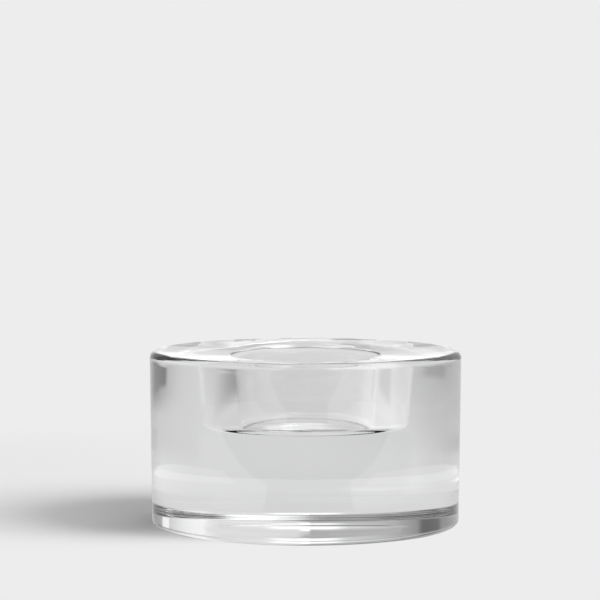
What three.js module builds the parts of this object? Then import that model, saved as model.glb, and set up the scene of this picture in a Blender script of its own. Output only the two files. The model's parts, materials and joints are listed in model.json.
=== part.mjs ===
// Glass votive holder: one thick puck of clear pressed glass with a round well for a tea light.
// Millimetres, +Z up, origin at the centre of the underside, on the surface the holder stands on.

import * as THREE from 'three';

// The candle that the well is made for.
const CANDLE_CUP_RADIUS = 19;     // outside of a standard tea light's metal cup
const CANDLE_CLEARANCE = 0.4;     // all round the cup, at the floor of the well

// The well.
const WELL_DEPTH = 22;            // from the level of the rim down to the floor
const WELL_DRAFT = 1.3;           // the plunger's taper: how much wider the mouth is than the floor
const WELL_COVE = 3;              // round corner between the well's side and its floor
const MOUTH_ROUNDING = 3.2;       // soft lip where the well meets the top face

// The body round the well.
const WALL_THICKNESS = 24.3;      // from the well's mouth out to the rim, at the top face
const BASE_THICKNESS = 28.5;      // solid glass under the well's floor
const BODY_DRAFT = 0.65;          // the mould's taper: how much narrower the foot is than the rim
const TOP_DISH = 1.5;             // how far the top face falls from the rim to the well's mouth
const RIM_ROUNDING = 1.3;         // fire-polished edge round the top face
const FOOT_ROUNDING = 2.2;        // edge round the underside

// The underside, pressed a little hollow so that the holder stands on a broad ring.
const HOLLOW_RADIUS = 19.8;       // inside of the flat ring that touches the table
const HOLLOW_RISE = 0.8;          // height of the shallow dome inside the ring

// Fineness of the surface.
const SIDES = 96;                 // facets round the axis
const ARC_STEP = Math.PI / 12;    // largest turn between two points of a rounded corner
const HOLLOW_STEPS = 5;           // rings across the dome of the underside

// Sizes that follow from the ones above.
const wellFloorRadius = CANDLE_CUP_RADIUS + CANDLE_CLEARANCE;
const wellMouthRadius = wellFloorRadius + WELL_DRAFT;
const rimRadius = wellMouthRadius + WALL_THICKNESS;
const footRadius = rimRadius - BODY_DRAFT;
const height = BASE_THICKNESS + WELL_DEPTH;
const mouthHeight = height - TOP_DISH;
const hollowRadius = Math.min(HOLLOW_RADIUS, footRadius / 2);

// The largest rounding that leaves half of each neighbouring edge straight.
function fittedRounding(wanted, corner, before, after, turn) {
  const shorterEdge = Math.min(corner.distanceTo(before), corner.distanceTo(after));
  const tangentPerRadius = Math.tan(turn / 2);
  return Math.min(wanted, shorterEdge / 2 / tangentPerRadius);
}

// The arc that rounds one corner of the outline, tangent to the edges on both sides of it.
function roundedCorner(corner, before, after, wanted) {
  const arriving = corner.clone().sub(before).normalize();
  const leaving = after.clone().sub(corner).normalize();
  const turn = Math.acos(arriving.dot(leaving));
  const radius = fittedRounding(wanted, corner, before, after, turn);
  const tangent = radius * Math.tan(turn / 2);
  const side = Math.sign(arriving.cross(leaving));
  const start = corner.clone().addScaledVector(arriving, -tangent);
  const toCentre = new THREE.Vector2(-arriving.y, arriving.x).multiplyScalar(side);
  const centre = start.clone().addScaledVector(toCentre, radius);
  const steps = Math.ceil(turn / ARC_STEP);
  const points = [];
  for (let i = 0; i <= steps; i++) {
    points.push(start.clone().rotateAround(centre, side * turn * i / steps));
  }
  return points;
}

// The dome under the base, from the axis out to the standing ring. It is a shallow parabola.
function undersideHollow() {
  const points = [];
  for (let i = 0; i <= HOLLOW_STEPS; i++) {
    const share = i / HOLLOW_STEPS;
    points.push(new THREE.Vector2(hollowRadius * share, HOLLOW_RISE * (1 - share ** 2)));
  }
  return points;
}

// Half of the section through the axis: up the outside, over the rim and down into the well.
function bodyOutline() {
  const hollow = undersideHollow();
  const ringStart = hollow[hollow.length - 1];
  const foot = new THREE.Vector2(footRadius, 0);
  const rim = new THREE.Vector2(rimRadius, height);
  const mouth = new THREE.Vector2(wellMouthRadius, mouthHeight);
  const floorCorner = new THREE.Vector2(wellFloorRadius, BASE_THICKNESS);
  const floorCentre = new THREE.Vector2(0, BASE_THICKNESS);
  return [
    ...hollow,
    ...roundedCorner(foot, ringStart, rim, FOOT_ROUNDING),
    ...roundedCorner(rim, foot, mouth, RIM_ROUNDING),
    ...roundedCorner(mouth, rim, floorCorner, MOUTH_ROUNDING),
    ...roundedCorner(floorCorner, mouth, floorCentre, WELL_COVE),
    floorCentre,
  ];
}

const clearGlass = new THREE.MeshStandardMaterial({
  color: 0xe4e9e8,
  roughness: 0.02,
  metalness: 0,
  transparent: true,
  opacity: 0.35,
});

// The outline is turned about Y, and the finished body is stood up so that its axis is Z.
function glassBody() {
  const geometry = new THREE.LatheGeometry(bodyOutline(), SIDES);
  geometry.rotateX(Math.PI / 2);
  const mesh = new THREE.Mesh(geometry, clearGlass);
  mesh.name = 'glass_body';
  return mesh;
}

const votiveHolder = new THREE.Group();
votiveHolder.name = 'votive_holder';
votiveHolder.add(glassBody());

export default votiveHolder;
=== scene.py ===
# %% [markdown]
# # Glass votive holder
#
# The object is a thick, heavy puck of clear pressed glass, 90 mm across and about 50 mm high, with a
# round well for a tea light in its slightly dished top face. Everything that the eye sees in it is either
# a reflection or something bent by the glass, so three things decide the picture: the exact section of
# the body, how even its surface is, and what stands round it. The lesson takes them in that order.
# Lengths are in metres, as Blender wants them, and sizes that a glassmaker would give in millimetres are
# multiplied by MM.

# %% Load the frame that the CAD part defines
import json
import math

import bpy
import numpy as np
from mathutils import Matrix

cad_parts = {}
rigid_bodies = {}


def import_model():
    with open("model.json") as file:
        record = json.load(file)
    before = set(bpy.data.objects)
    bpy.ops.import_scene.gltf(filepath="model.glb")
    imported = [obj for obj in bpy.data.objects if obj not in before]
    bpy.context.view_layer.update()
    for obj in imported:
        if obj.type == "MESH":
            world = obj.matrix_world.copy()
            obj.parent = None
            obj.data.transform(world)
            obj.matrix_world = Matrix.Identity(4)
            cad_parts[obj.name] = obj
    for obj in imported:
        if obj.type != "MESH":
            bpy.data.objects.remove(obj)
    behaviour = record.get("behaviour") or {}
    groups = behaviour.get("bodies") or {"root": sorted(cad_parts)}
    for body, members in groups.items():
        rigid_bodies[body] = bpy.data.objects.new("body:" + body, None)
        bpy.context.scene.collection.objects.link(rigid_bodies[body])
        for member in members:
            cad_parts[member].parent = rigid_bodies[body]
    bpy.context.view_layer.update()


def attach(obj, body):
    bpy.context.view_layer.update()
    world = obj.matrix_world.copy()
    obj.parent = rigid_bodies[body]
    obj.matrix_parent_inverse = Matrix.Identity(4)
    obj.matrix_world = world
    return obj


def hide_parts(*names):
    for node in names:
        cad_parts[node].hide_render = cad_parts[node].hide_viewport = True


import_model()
MM = 0.001

# %% [markdown]
# ## The section of the glass
#
# A pressed holder is round, so one half section says it all. The real one is made in an iron mould with a
# plunger: the plunger leaves the well, with a little taper so that it can be pulled out, and the flame
# that polishes the piece afterwards melts every edge into a soft curve. A lathed profile is the natural
# way to make it. A cube or cylinder with a boolean would give the same volume, but hard edges, and in
# clear glass it is the roundings that carry the dark and bright lines of the picture.
#
# The well is made for a candle's metal cup, and every radius follows from that cup, just as in the CAD
# part.

# %% Driving sizes of the body, the same as in the CAD part
CANDLE_CUP_RADIUS = 19.0 * MM
CANDLE_CLEARANCE = 0.4 * MM
WELL_DRAFT = 1.3 * MM
WELL_DEPTH = 22.0 * MM
WALL_THICKNESS = 24.3 * MM
BASE_THICKNESS = 28.5 * MM
BODY_DRAFT = 0.65 * MM
TOP_DISH = 1.5 * MM
HOLLOW_RADIUS = 19.8 * MM
HOLLOW_RISE = 0.8 * MM

well_floor_radius = CANDLE_CUP_RADIUS + CANDLE_CLEARANCE
well_mouth_radius = well_floor_radius + WELL_DRAFT
rim_radius = well_mouth_radius + WALL_THICKNESS
foot_radius = rim_radius - BODY_DRAFT
height = BASE_THICKNESS + WELL_DEPTH
print("rim radius and height, mm:", round(rim_radius / MM, 2), round(height / MM, 2))

# %% [markdown]
# The four roundings are the one place where this section departs from the CAD part, by at most half a
# millimetre of glass. A rounding shows as a pale or dark line whose width follows from its radius, so
# here the rim is a little softer and the other three a little tighter, as the lines in the photograph
# are.

# %% Roundings of the four corners
RIM_ROUNDING = 2.0 * MM
LIP_ROUNDING = 2.0 * MM
WELL_COVE = 2.2 * MM
FOOT_ROUNDING = 1.8 * MM

# %% [markdown]
# Each corner of the section is replaced by an arc that touches both of its edges. The arc gets many short
# steps, because glass shows every facet twice: once in the reflection and once through the body.

# %% Round one corner of the section
ARC_STEPS = 20


def rounded(corner, before, after, radius):
    corner, before, after = (np.array(point, float) for point in (corner, before, after))
    arriving = (corner - before) / np.linalg.norm(corner - before)
    leaving = (after - corner) / np.linalg.norm(after - corner)
    turn = math.acos(float(arriving @ leaving))
    side = math.copysign(1.0, arriving[0] * leaving[1] - arriving[1] * leaving[0])
    start = corner - arriving * radius * math.tan(turn / 2)
    centre = start + side * radius * np.array([-arriving[1], arriving[0]])
    angles = side * turn * np.linspace(0, 1, ARC_STEPS + 1)
    spoke = start - centre
    x = spoke[0] * np.cos(angles) - spoke[1] * np.sin(angles)
    z = spoke[0] * np.sin(angles) + spoke[1] * np.cos(angles)
    return centre + np.stack([x, z], axis=1)


# %% Corners of the section, from the underside round to the floor of the well
hollow_edge = (HOLLOW_RADIUS, 0.0)
foot = (foot_radius, 0.0)
rim = (rim_radius, height)
lip = (well_mouth_radius, height - TOP_DISH)
floor_corner = (well_floor_radius, BASE_THICKNESS)
floor_centre = (0.0, BASE_THICKNESS)

foot_arc = rounded(foot, hollow_edge, rim, FOOT_ROUNDING)
rim_arc = rounded(rim, foot, lip, RIM_ROUNDING)
lip_arc = rounded(lip, rim, floor_corner, LIP_ROUNDING)
cove_arc = rounded(floor_corner, lip, floor_centre, WELL_COVE)
print("points on the four roundings:", sum(len(arc) for arc in (foot_arc, rim_arc, lip_arc, cove_arc)))

# %% [markdown]
# The straight runs are cut into steps of about 0.7 mm. They are flat in the drawing, but the surface of
# the real glass swims a little, and the mesh needs enough points to carry that. The underside is pressed
# in by 0.8 mm inside a circle as wide as the well, so the holder stands on a flat ring.

# %% Cut the straight runs into even steps
STEP = 0.7 * MM


def run(start, end):
    start, end = np.array(start, float), np.array(end, float)
    count = max(2, round(float(np.linalg.norm(end - start)) / STEP))
    share = np.linspace(0, 1, count + 1)[1:-1, None]
    return start + (end - start) * share


def hollow():
    radii = np.linspace(0, HOLLOW_RADIUS, round(HOLLOW_RADIUS / STEP) + 1)
    rises = HOLLOW_RISE * (1 - (radii / HOLLOW_RADIUS) ** 2)
    return np.stack([radii, rises], axis=1)


underside = hollow()
section = np.concatenate([
    underside, run(underside[-1], foot_arc[0]), foot_arc, run(foot_arc[-1], rim_arc[0]), rim_arc,
    run(rim_arc[-1], lip_arc[0]), lip_arc, run(lip_arc[-1], cove_arc[0]), cove_arc,
    run(cove_arc[-1], floor_centre), np.array([floor_centre])])
print("points in the section:", len(section))

# %% [markdown]
# ## Round and closed
#
# The section is turned round the axis in many narrow sides, so that no facet shows in a reflection. The
# first and the last point of the section lie on the axis, and each of them is a single point in the mesh
# that closes it with a fan of triangles. The result is one closed skin, as the glass is.

# %% Revolve the section
SIDES = 448


def revolve(profile):
    turn = np.linspace(0, 2 * math.pi, SIDES, endpoint=False)
    ring = profile[1:-1]
    x = ring[:, :1] * np.cos(turn)
    y = ring[:, :1] * np.sin(turn)
    z = np.repeat(ring[:, 1:], SIDES, axis=1)
    poles = np.array([[0, 0, profile[0, 1]], [0, 0, profile[-1, 1]]])
    return np.concatenate([np.stack([x, y, z], axis=2).reshape(-1, 3), poles])


def revolved_faces(rings):
    faces = []
    bottom, top = rings * SIDES, rings * SIDES + 1
    last = (rings - 1) * SIDES
    for side in range(SIDES):
        after = (side + 1) % SIDES
        faces.append((bottom, after, side))
        for low in range(0, last, SIDES):
            high = low + SIDES
            faces.append((low + side, low + after, high + after, high + side))
        faces.append((top, last + side, last + after))
    return faces


points = revolve(section)
rings = len(section) - 2
print("points on the body:", len(points))

# %% [markdown]
# ## A surface that swims
#
# Pressed glass chills against the iron first, and then the flame evens it out, but never fully: the top
# face keeps broad, shallow waves a few hundredths of a millimetre high, and the underside weaker ones.
# That is what breaks the highlights on the top face into wedges and streaks. A bump map would bend the
# light too, but real waves in the mesh also bend the view through the glass, and they survive an export.
# The waves are a sum of a few plane waves in all directions, with fixed starting numbers, so each run
# gives the same piece of glass.

# %% Waves on the glass, as a height for every point
LONGEST_WAVE = 26 * MM
SHORTEST_WAVE = 7 * MM
WAVE_COUNT = 26
WAVE_SEED = 7


def waves(points):
    draw = np.random.RandomState(WAVE_SEED)
    total = np.zeros(len(points))
    for _ in range(WAVE_COUNT):
        direction = draw.normal(size=3)
        direction /= np.linalg.norm(direction)
        length = SHORTEST_WAVE * (LONGEST_WAVE / SHORTEST_WAVE) ** draw.rand()
        total += length * np.cos(2 * math.pi * (points @ direction) / length + draw.rand() * 2 * math.pi)
    return total / (LONGEST_WAVE * math.sqrt(WAVE_COUNT / 2))


# %% [markdown]
# How strongly each part of the surface swims follows from how it was made. The outer wall lay against the
# mould and is nearly true, the top face was open to the flame and moved most, and the well and the
# underside lie between the two. The strengths fade into each other over one to five millimetres, so no
# seam shows.

# %% How high the waves are on each part of the surface
WALL_WAVE = 0.004 * MM
TOP_WAVE = 0.05 * MM
WELL_WAVE = 0.012 * MM
UNDERSIDE_WAVE = 0.012 * MM


def fade(value, start, end):
    share = np.clip((value - start) / (end - start), 0, 1)
    return share * share * (3 - 2 * share)


radius = np.hypot(points[:, 0], points[:, 1])
on_top = fade(points[:, 2], height - 3 * MM, height - 2 * MM)
near_well = fade(radius, well_mouth_radius + 2.8 * MM, well_mouth_radius + 0.8 * MM)
in_well = near_well * fade(points[:, 2], 20 * MM, 25 * MM)
on_underside = fade(points[:, 2], 2.5 * MM, 1 * MM)
strength = WALL_WAVE + (TOP_WAVE - WALL_WAVE) * on_top
strength += (WELL_WAVE - strength) * in_well
strength += (UNDERSIDE_WAVE - strength) * on_underside
swell = waves(points) * strength
print("highest wave, mm:", round(float(np.abs(swell).max()) / MM, 3))

# %% [markdown]
# A wave lifts the skin at right angles to it. In the section that direction is the mean of the normals of
# the two edges that meet in a point, and it turns with the point round the axis. The two points on the
# axis only move up or down. Nothing may reach below the table or above the rim's own level, so the
# heights are clipped.

# %% Move every point along the outward direction of the section
def outward(profile):
    edge = np.diff(profile, axis=0)
    normal = np.stack([edge[:, 1], -edge[:, 0]], axis=1)
    normal /= np.linalg.norm(normal, axis=1)[:, None]
    both = normal[:-1] + normal[1:]
    return both / np.linalg.norm(both, axis=1)[:, None]


spread = np.repeat(outward(section), SIDES, axis=0)
turn = np.arctan2(points[:-2, 1], points[:-2, 0])
normals = np.stack([spread[:, 0] * np.cos(turn), spread[:, 0] * np.sin(turn), spread[:, 1]], axis=1)
moved = points.copy()
moved[:-2] += normals * swell[:-2, None]
moved[-2, 2] -= swell[-2]
moved[-1, 2] += swell[-1]
moved[:, 2] = np.clip(moved[:, 2], 0, height)


# %% Build the mesh and put it in the place of the CAD solid
def make_mesh(name, vertices, faces):
    mesh = bpy.data.meshes.new(name)
    mesh.from_pydata(vertices.tolist(), [], faces)
    mesh.update()
    mesh.shade_smooth()
    piece = bpy.data.objects.new(name, mesh)
    bpy.context.scene.collection.objects.link(piece)
    return piece


body = make_mesh("pressed_glass_body", moved, revolved_faces(rings))
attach(body, "root")
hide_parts("glass_body")
print("faces on the body:", len(body.data.polygons))

# %% [markdown]
# ## Clear pressed glass
#
# The glass is ordinary colourless soda-lime glass, fire-polished, so its surface is perfectly smooth at
# the scale of light and its roughness is zero. The index of refraction of such glass is 1.52. It isn't
# perfectly colourless: iron in the sand takes a little more red and blue than green out of the light on
# its long way through the body, which the eye sees as a faint cool grey. A tint on the surface would
# colour a thin edge as much as the thick middle, so the colour is a volume that absorbs light along the
# way instead.
#
# One small function adds each node with its settings and its links, here and in all that follows. A
# socket is given by its name, with _ for a space, or by _ and its number where several have the same
# name.

# %% Helpers for colours and nodes
def linear(hex_colour):
    channels = [int(hex_colour[i:i + 2], 16) / 255 for i in (1, 3, 5)]
    return [c / 12.92 if c <= 0.04045 else ((c + 0.055) / 1.055) ** 2.4 for c in channels] + [1.0]


def add(tree, kind, settings=None, **sockets):
    made = tree.nodes.new(kind)
    for name, value in (settings or {}).items():
        setattr(made, name, value)
    for name, value in sockets.items():
        socket = made.inputs[int(name[1:])] if name[1:].isdigit() else made.inputs[name.replace("_", " ")]
        if isinstance(value, bpy.types.Node):
            value = value.outputs[0]
        if isinstance(value, bpy.types.NodeSocket):
            tree.links.new(value, socket)
        else:
            socket.default_value = value
    return made


def empty_tree(owner):
    owner.use_nodes = True
    owner.node_tree.nodes.clear()
    return owner.node_tree


# %% The glass itself
GLASS_INDEX = 1.52
GLASS_COLOUR = linear("#F0F6F3")
ABSORPTION_PER_METRE = 1.8

glass = bpy.data.materials.new("fire_polished_soda_lime_glass")
tree = empty_tree(glass)
surface = add(tree, "ShaderNodeBsdfPrincipled", None, Base_Color=(1, 1, 1, 1), Roughness=0.0,
              IOR=GLASS_INDEX, Transmission_Weight=1.0)
depth = add(tree, "ShaderNodeVolumeAbsorption", None, Color=GLASS_COLOUR, Density=ABSORPTION_PER_METRE)
add(tree, "ShaderNodeOutputMaterial", None, Surface=surface, Volume=depth)
body.data.materials.append(glass)
print("glass:", glass.name, "with index", GLASS_INDEX)

# %% [markdown]
# ## What stands round the glass
#
# The holder stands on a plain pale table. To the camera the table and the backdrop are one even pale
# grey, with only the object's soft shadow on it. The glass itself also looks sideways, upwards and behind
# the camera, where a studio has pale walls, a window, a darker corner and the dark space round the
# camera. Without them clear glass would vanish against the pale ground.
#
# The surroundings could be modelled as a room full of cards, but each card would also show in the shadow
# and have to be lit. Here they are drawn as soft-edged panels on the sky and the table, each at an
# azimuth and an elevation in degrees, as seen from the middle of the glass. Azimuth 0 is straight behind
# the object, 90 is to its right, and a negative elevation lies on the table. A later panel covers an
# earlier one, as a card held in front of it would. Each was placed by following the view through the
# glass to where it leaves it, and set in round figures by comparing the render with the photograph.

# %% Panels of the studio
ROOM_TONE = 1.0
ALL_ROUND = 185
# The panels below the horizon are painted light and shade on the table, which glows with them for the glass.
PANELS = [
    # name, middle azimuth and elevation, half width and half height, softness of these edges, tone
    ("dim left wall", (-35, 20), (50, 40), (30, 25), 0.2),
    ("pale back wall", (15, 12), (10, 25), (12, 4), 0.6),
    ("black flag on the right", (75, 20), (20, 38), (60, 10), 0.1),
    ("soft box above the camera", (190, 35), (40, 20), (2, 2), 2.2),
    ("white card right of the camera", (152, 10), (15, 25), (10, 18), 2.0),
    ("dark space round the camera", (-175, 11), (20, 32), (12, 9), 0.0),
    ("dim front left corner", (-110, 50), (70, 38), (60, 25), 0.3),
    ("ceiling", (0, 100), (ALL_ROUND, 8), (1, 25), 0.2),
    ("pale upper left wall", (-75, 25), (10, 12), (15, 15), 0.8),
    ("dim upper right wall", (110, 28), (20, 17), (35, 25), 0.4),
    ("table", (0, -45), (ALL_ROUND, 50), (1, 8), 0.65),
    ("table lit from the right", (65, -16), (35, 10), (55, 10), 0.85),
    ("window light on the right", (115, -8), (15, 4), (40, 1.5), 2.0),
    ("table in front, in the dark", (180, -1), (50, 19), (55, 40), 0.05),
    ("table on the front left", (-120, -6.5), (60, 1), (55, 1.5), 0.3),
    ("far table on the left", (-60, -2), (70, 2.5), (30, 8), 0.5),
    ("far table on the right", (65, 2), (12, 5.5), (40, 1.5), 0.15),
    ("shaded table on the right", (68, -6.1), (11, 1.1), (10, 0.8), 0.64),
    ("pale strip at the horizon", (0, 7), (20, 12), (50, 26), 0.85),
    ("light spot on the front left", (-150, -17), (12, 1.5), (15, 4), 2.2),
    ("low window behind", (0, 6), (8, 7), (6, 1.5), 1.25),
    ("pale screen behind on the right", (15, 16), (14, 7), (3, 8), 0.75),
    ("grey screen behind on the left", (-14, 16), (13, 6), (1, 7), 0.45),
    ("high soft box on the right", (115, 65), (16, 11), (9, 8), 1.7),
    ("high left corner", (-137, 62), (30, 9), (5, 5), 0.4),
    ("light over the camera", (188, 22), (28, 4), (10, 5), 0.7),
    ("camera", (180, 16), (6, 7), (1, 1), 0.0),
    ("dark post on the left", (-43, 10), (7, 4), (5, 4), 0.1),
    ("dark beam high on the right", (97, 49), (8, 5), (8, 6), 0.15),
    ("foot of a stand on the right", (57, -2.55), (9, 0.3), (4, 0.3), 0.2),
    ("stand on the right", (61, -1.6), (3, 1.4), (4, 0.2), 0.2),
    ("dark edge of the table on the left", (-41, -2.4), (8, 0.2), (8, 0.3), 0.4),
    ("pale gap behind the flag", (56, 8), (4, 1.5), (2, 1), 1.0),
]
print("panels in the studio:", len(PANELS))


# %% [markdown]
# A panel's edge fades smoothly from nothing outside it to full cover inside it. The distance from its
# middle is taken the short way round, so a panel behind the camera may cross azimuth 180.

# %% Hang one panel in front of what is there already
def soft_edge(tree, value, outside, inside):
    return add(tree, "ShaderNodeMapRange", {"interpolation_type": "SMOOTHSTEP"}, _0=value,
               _1=outside, _2=inside)


def turned_from(tree, azimuth, middle):
    turn = add(tree, "ShaderNodeMath", {"operation": "SUBTRACT"}, _0=azimuth, _1=middle)
    short_way = add(tree, "ShaderNodeMath", {"operation": "WRAP"}, _0=turn, _1=180.0, _2=-180.0)
    return add(tree, "ShaderNodeMath", {"operation": "ABSOLUTE"}, _0=short_way)


def hang(tree, seen, behind, middle, half_size, softness, tone):
    aside = turned_from(tree, seen.outputs["Azimuth"], middle[0])
    rise = add(tree, "ShaderNodeMath", {"operation": "SUBTRACT"}, _0=seen.outputs["Elevation"], _1=middle[1])
    above = add(tree, "ShaderNodeMath", {"operation": "ABSOLUTE"}, _0=rise)
    edges = [soft_edge(tree, distance, half + soft / 2, half - soft / 2)
             for distance, half, soft in zip((aside, above), half_size, softness)]
    cover = add(tree, "ShaderNodeMath", {"operation": "MULTIPLY"}, _0=edges[0], _1=edges[1])
    return add(tree, "ShaderNodeMix", {"data_type": "FLOAT"}, _0=cover, _2=behind, _3=tone)


# %% One group of nodes for all that the glass sees
surroundings = bpy.data.node_groups.new("studio_panels", "ShaderNodeTree")
for name, direction in (("Azimuth", "INPUT"), ("Elevation", "INPUT"), ("Tone", "OUTPUT")):
    surroundings.interface.new_socket(name, in_out=direction, socket_type="NodeSocketFloat")
seen = add(surroundings, "NodeGroupInput")
tone = ROOM_TONE
for name, *panel in PANELS:
    tone = hang(surroundings, seen, tone, *panel)
add(surroundings, "NodeGroupOutput", None, Tone=tone)
print("nodes in the studio group:", len(surroundings.nodes))

# %% [markdown]
# The panels above the horizon hang in the world, where every ray but the camera's own meets them. The
# camera gets the even backdrop, so the studio shows only in the glass. Rays that the glass bends or
# mirrors meet the panels too: with the even backdrop for them as well, clear glass would hardly show.

# %% The studio behind and above, as the world
BACKDROP = linear("#EDEDED")

world = bpy.data.worlds.new("studio")
bpy.context.scene.world = world
tree = empty_tree(world)
gaze = add(tree, "ShaderNodeTexCoord")
way = add(tree, "ShaderNodeSeparateXYZ", None, Vector=gaze.outputs["Generated"])
azimuth = add(tree, "ShaderNodeMath", {"operation": "ARCTAN2"}, _0=way.outputs["X"], _1=way.outputs["Y"])
azimuth = add(tree, "ShaderNodeMath", {"operation": "DEGREES"}, _0=azimuth)
elevation = add(tree, "ShaderNodeMath", {"operation": "ARCSINE"}, _0=way.outputs["Z"])
elevation = add(tree, "ShaderNodeMath", {"operation": "DEGREES"}, _0=elevation)
panels = add(tree, "ShaderNodeGroup", {"node_tree": surroundings}, Azimuth=azimuth, Elevation=elevation)
backdrop = add(tree, "ShaderNodeBackground", None, Color=BACKDROP, Strength=1.0)
studio = add(tree, "ShaderNodeBackground", None, Color=panels, Strength=1.0)
rays = add(tree, "ShaderNodeLightPath")
sky = add(tree, "ShaderNodeMixShader", None, _0=rays.outputs["Is Camera Ray"], _1=studio, _2=backdrop)
add(tree, "ShaderNodeOutputWorld", None, Surface=sky)

# %% [markdown]
# ## The table
#
# The table is one large disc. It lies a hair below the glass, because two surfaces in exactly the same
# place fight for the light and come out black. A point on the table is seen from the middle of the glass
# at some azimuth and some way below the horizon, which gives it its painted light and shade in the same
# group of panels. The glass sees this as a glow of the table.

# %% The table and the direction of each point on it
TABLE_RADIUS = 4.0
TABLE_GAP = 0.05 * MM
TABLE_SIDES = 96
MIDDLE_OF_GLASS = 25 * MM

turn = np.linspace(0, 2 * math.pi, TABLE_SIDES, endpoint=False)
edge = np.stack([TABLE_RADIUS * np.cos(turn), TABLE_RADIUS * np.sin(turn), np.full(TABLE_SIDES, -TABLE_GAP)],
                axis=1)
table = make_mesh("table", edge, [tuple(range(TABLE_SIDES))])

table_material = bpy.data.materials.new("matt_white_lacquered_table")
tree = empty_tree(table_material)
place = add(tree, "ShaderNodeTexCoord")
spot = add(tree, "ShaderNodeSeparateXYZ", None, Vector=place.outputs["Object"])
flat = add(tree, "ShaderNodeCombineXYZ", None, X=spot.outputs["X"], Y=spot.outputs["Y"])
far = add(tree, "ShaderNodeVectorMath", {"operation": "LENGTH"}, _0=flat).outputs["Value"]
azimuth = add(tree, "ShaderNodeMath", {"operation": "ARCTAN2"}, _0=spot.outputs["X"], _1=spot.outputs["Y"])
azimuth = add(tree, "ShaderNodeMath", {"operation": "DEGREES"}, _0=azimuth)
below = add(tree, "ShaderNodeMath", {"operation": "ARCTAN2"}, _0=-MIDDLE_OF_GLASS, _1=far)
below = add(tree, "ShaderNodeMath", {"operation": "DEGREES"}, _0=below)
panels = add(tree, "ShaderNodeGroup", {"node_tree": surroundings}, Azimuth=azimuth, Elevation=below)
print("table radius, m:", TABLE_RADIUS)

# %% [markdown]
# Across the glass, low down, the photograph has one straight level step in tone, seen through the body.
# It looks like the far edge of a paler sheet that the holder stands on, seen through the body, so the
# table is a touch paler inside a circle. So the table glows a touch brighter inside a circle round the
# glass.

# %% Brighter glow of the table inside a circle round the glass
BRIGHT_CIRCLE_RADIUS = 140 * MM
BRIGHT_CIRCLE_EDGE = 2 * MM
BRIGHT_CIRCLE_LIFT = 0.07
TABLE_GLOW_COLOUR = (1.0, 0.995, 1.005, 1)

in_bright_circle = soft_edge(tree, far, BRIGHT_CIRCLE_RADIUS + BRIGHT_CIRCLE_EDGE, BRIGHT_CIRCLE_RADIUS - BRIGHT_CIRCLE_EDGE)
table_tone = add(tree, "ShaderNodeMath", {"operation": "MULTIPLY_ADD"}, _0=in_bright_circle, _1=BRIGHT_CIRCLE_LIFT,
                 _2=panels)
# The table glows for the glass with the painted light and shade of the panels, in this colour.
table_light = add(tree, "ShaderNodeEmission", None, Color=TABLE_GLOW_COLOUR, Strength=table_tone)

# %% [markdown]
# The outer wall also mirrors about four per cent of what lies in front of it. In the photograph this
# draws a shape like a goblet in the middle of the glass, a little darker and cooler than what is round
# it: there the wall mirrors the dark space between the table's front edge and the camera, and on both
# sides of it the table in faintly warm light. So the table in front glows with painted light and painted
# shade, pale and dark. The painted shade lies on all that is beyond the front edge, where the disc goes
# on though only dark space is there, and on a wedge that opens towards the camera. The table close to
# the glass, and all of it behind, stays as it is.

# %% Front of the table, as the wall of the glass mirrors it
# Painted light and shade for the front of the table: pale, faintly warm light and dark shade.
FRONT_LIGHT_COLOUR = (1.0, 1.0, 0.96, 1)
FRONT_PAINTED_LIGHT = 1.0
FRONT_PAINTED_SHADE = 0.1
FRONT_BEGINS = -50 * MM
FRONT_BEGINS_SOFTLY = 20 * MM
FRONT_NEAREST = 100 * MM
FRONT_HALF_WIDTH = 250 * MM
FRONT_SIDE_SOFTLY = 20 * MM
TABLE_EDGE = -138 * MM
TABLE_EDGE_SOFTLY = 3 * MM
WEDGE_AZIMUTH = 178
WEDGE_HALF_ANGLE = 26

sideways = add(tree, "ShaderNodeMath", {"operation": "ABSOLUTE"}, _0=spot.outputs["X"])
between_sides = soft_edge(tree, sideways, FRONT_HALF_WIDTH + FRONT_SIDE_SOFTLY,
                          FRONT_HALF_WIDTH - FRONT_SIDE_SOFTLY)
past_edge = soft_edge(tree, spot.outputs["Y"], TABLE_EDGE + TABLE_EDGE_SOFTLY,
                      TABLE_EDGE - TABLE_EDGE_SOFTLY)
past_edge = add(tree, "ShaderNodeMath", {"operation": "MULTIPLY"}, _0=past_edge, _1=between_sides)
off_wedge = turned_from(tree, azimuth, WEDGE_AZIMUTH)
in_wedge = soft_edge(tree, off_wedge, WEDGE_HALF_ANGLE + 1, WEDGE_HALF_ANGLE - 1)
# Painted shade on the front of the table: all beyond its front edge, and a wedge towards the camera.
dark = add(tree, "ShaderNodeMath", {"operation": "MAXIMUM"}, _0=past_edge, _1=in_wedge)
front_light_and_shade = add(tree, "ShaderNodeMix", {"data_type": "FLOAT"}, _0=dark, _2=FRONT_PAINTED_LIGHT, _3=FRONT_PAINTED_SHADE)
front_light = add(tree, "ShaderNodeEmission", None, Color=FRONT_LIGHT_COLOUR, Strength=front_light_and_shade)

in_front = soft_edge(tree, spot.outputs["Y"], FRONT_BEGINS + FRONT_BEGINS_SOFTLY,
                     FRONT_BEGINS - FRONT_BEGINS_SOFTLY)
in_front = add(tree, "ShaderNodeMath", {"operation": "MULTIPLY"}, _0=in_front, _1=between_sides)
clear_of_glass = soft_edge(tree, far, FRONT_NEAREST - 5 * MM, FRONT_NEAREST + 5 * MM)
in_front = add(tree, "ShaderNodeMath", {"operation": "MULTIPLY"}, _0=in_front, _1=clear_of_glass)
seen_in_glass = add(tree, "ShaderNodeMixShader", None, _0=in_front, _1=table_light, _2=front_light)

# %% [markdown]
# The camera sees the table as the same even grey as the backdrop, except where the shadow lies. The key
# light comes from the right and a little from the front, so the shadow falls to the left and slightly
# back. There the table is an ordinary lit matt surface, and a soft mask fades it into the even grey.

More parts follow.
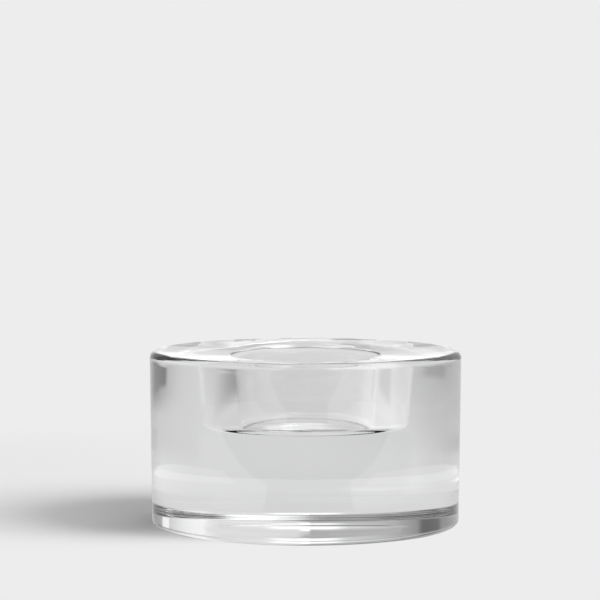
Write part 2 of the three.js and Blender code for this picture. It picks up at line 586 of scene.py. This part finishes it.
# %% Shadow side of the table
SHADOW_AZIMUTH = -66
SHADOW_FULL_ANGLE = 30
SHADOW_LAST_ANGLE = 90
SHADOW_FULL_REACH = 130 * MM
SHADOW_LAST_REACH = 300 * MM
TABLE_WHITE = (0.80, 0.80, 0.80, 1)

lit = add(tree, "ShaderNodeBsdfDiffuse", None, Color=TABLE_WHITE)
even = add(tree, "ShaderNodeEmission", None, Color=BACKDROP, Strength=1.0)
off_shadow = turned_from(tree, azimuth, SHADOW_AZIMUTH)
on_that_side = soft_edge(tree, off_shadow, SHADOW_LAST_ANGLE, SHADOW_FULL_ANGLE)
near_enough = soft_edge(tree, far, SHADOW_LAST_REACH, SHADOW_FULL_REACH)
shadow_side = add(tree, "ShaderNodeMath", {"operation": "MULTIPLY"}, _0=on_that_side, _1=near_enough)
table_seen = add(tree, "ShaderNodeMixShader", None, _0=shadow_side, _1=even, _2=lit)
rays = add(tree, "ShaderNodeLightPath")
table_look = add(tree, "ShaderNodeMixShader", None, _0=rays.outputs["Is Camera Ray"], _1=seen_in_glass,
                 _2=table_seen)
add(tree, "ShaderNodeOutputMaterial", None, Surface=table_look)
table.data.materials.append(table_material)
print("nodes in the table's material:", len(tree.nodes))

# %% [markdown]
# ## The key light
#
# One large round soft box stands on the right, as far away as a light stand would be. Its size makes the
# shadow's edge soft, and its power is set so that the lit table has the tone of the backdrop. The glass
# doesn't mirror it, because the window and the soft boxes that the glass shows are panels already.

# %% Key light
KEY_AZIMUTH = math.radians(113)
KEY_ELEVATION = math.radians(42)
KEY_DISTANCE = 1.6
KEY_WIDTH = 1.0
KEY_POWER = 20.5

soft_box = bpy.data.lights.new("key_soft_box", "AREA")
soft_box.shape = "DISK"
soft_box.size = KEY_WIDTH
soft_box.energy = KEY_POWER
key = bpy.data.objects.new("key_soft_box", soft_box)
bpy.context.scene.collection.objects.link(key)
reach = KEY_DISTANCE * math.cos(KEY_ELEVATION)
rise = KEY_DISTANCE * math.sin(KEY_ELEVATION)
key.location = (reach * math.sin(KEY_AZIMUTH), reach * math.cos(KEY_AZIMUTH), rise)
key.rotation_euler = (math.pi / 2 - KEY_ELEVATION, 0, math.pi - KEY_AZIMUTH)
key.visible_camera = False
key.visible_glossy = False
key.visible_transmission = False
print("key light at", [round(v, 2) for v in key.location])

# %% [markdown]
# ## The camera
#
# The photograph looks slightly down on the holder: the rim shows as a flat ellipse. The distance and the
# focal length come from how much the foot's ellipse is rounder than the rim's and from the size in the
# frame. The object stands a little right of the middle of the frame and below it. A sideways shift of the
# lens keeps the camera square to the holder, and the aim is tipped less than the line to the holder,
# which lowers it in the frame.

# %% Camera at the photograph's viewing angle
FRAME_PIXELS = 600
FOCAL_PIXELS = 2828
CENTRE_X_PIXELS = 305.5
SENSOR_WIDTH_MM = 36.0
DISTANCE = 820 * MM
LOOK_DOWN = math.radians(6.71)
AIM_DOWN = math.radians(3.93)

lens = bpy.data.cameras.new("camera")
camera = bpy.data.objects.new("camera", lens)
bpy.context.scene.collection.objects.link(camera)
back = DISTANCE * math.cos(LOOK_DOWN)
up = DISTANCE * math.sin(LOOK_DOWN)
camera.location = (0, -back, MIDDLE_OF_GLASS + up)
camera.rotation_euler = (math.pi / 2 - AIM_DOWN, 0, 0)
lens.sensor_width = SENSOR_WIDTH_MM
lens.lens = FOCAL_PIXELS / FRAME_PIXELS * SENSOR_WIDTH_MM
lens.shift_x = (FRAME_PIXELS / 2 - CENTRE_X_PIXELS) / FRAME_PIXELS
lens.clip_start = 0.01
lens.clip_end = 100.0
bpy.context.scene.camera = camera
bpy.context.scene.view_settings.view_transform = "Standard"
print("focal length, mm:", round(lens.lens, 1))
